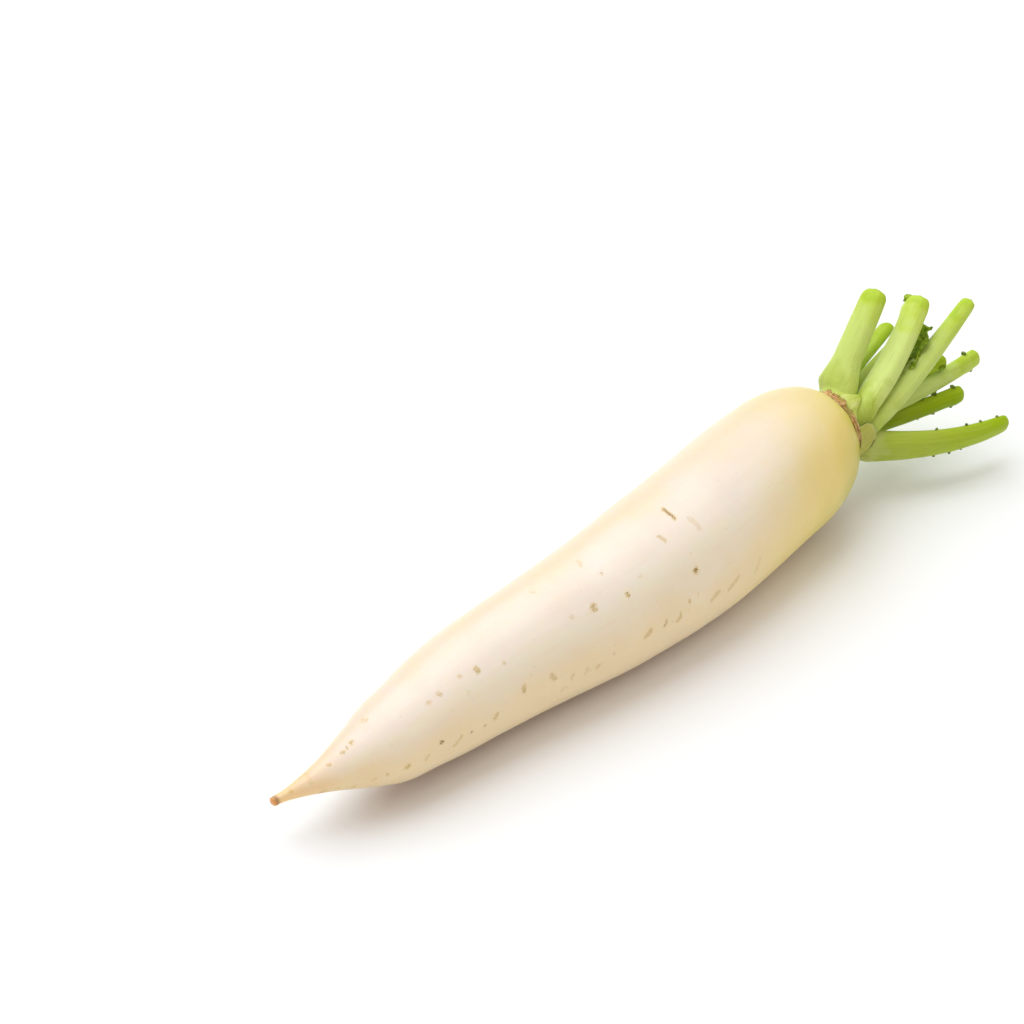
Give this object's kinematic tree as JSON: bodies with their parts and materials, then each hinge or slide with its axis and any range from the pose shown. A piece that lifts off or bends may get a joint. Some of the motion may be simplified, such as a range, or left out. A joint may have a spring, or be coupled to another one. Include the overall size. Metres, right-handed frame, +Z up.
{
  "type": "daikon radish",
  "caption": "Long white radish root with a pale green shoulder and its leaf stalks cut short, lying on its belly.",
  "frame": {"origin": "middle of the flat patch of belly that the root rests on, level with the surface", "axes": "+X along the root from its tail tip to its crown and leaf stalks, +Z up, +Y to the left when looking along +X"},
  "size_m": [0.4488, 0.0784, 0.0929],
  "materials": {
    "radish_skin": "smooth moist skin with faint growth rings and small lateral-root scars",
    "dry_leaf_base": "dry fibrous",
    "leaf_stalk_green": "smooth, faintly ribbed, with fine down",
    "young_leaf_green": "crinkled leaf",
    "old_leaf_base": "drying leaf base"
  },
  "bodies": {
    "root": {"root": "radish_skin", "crown_collar": "dry_leaf_base", "leaf_stalk_top": "leaf_stalk_green", "leaf_stalk_front": "leaf_stalk_green", "leaf_stalk_long": "leaf_stalk_green", "leaf_stalk_side": "leaf_stalk_green", "leaf_stalk_low": "leaf_stalk_green", "leaf_stalk_under": "leaf_stalk_green", "leaf_stalk_back": "leaf_stalk_green", "inner_stalk_back": "leaf_stalk_green", "inner_stalk_middle": "leaf_stalk_green", "inner_stalk_low": "leaf_stalk_green", "heart_leaf": "young_leaf_green", "leaf_base_scale": "old_leaf_base"}
  },
  "joints": []
}
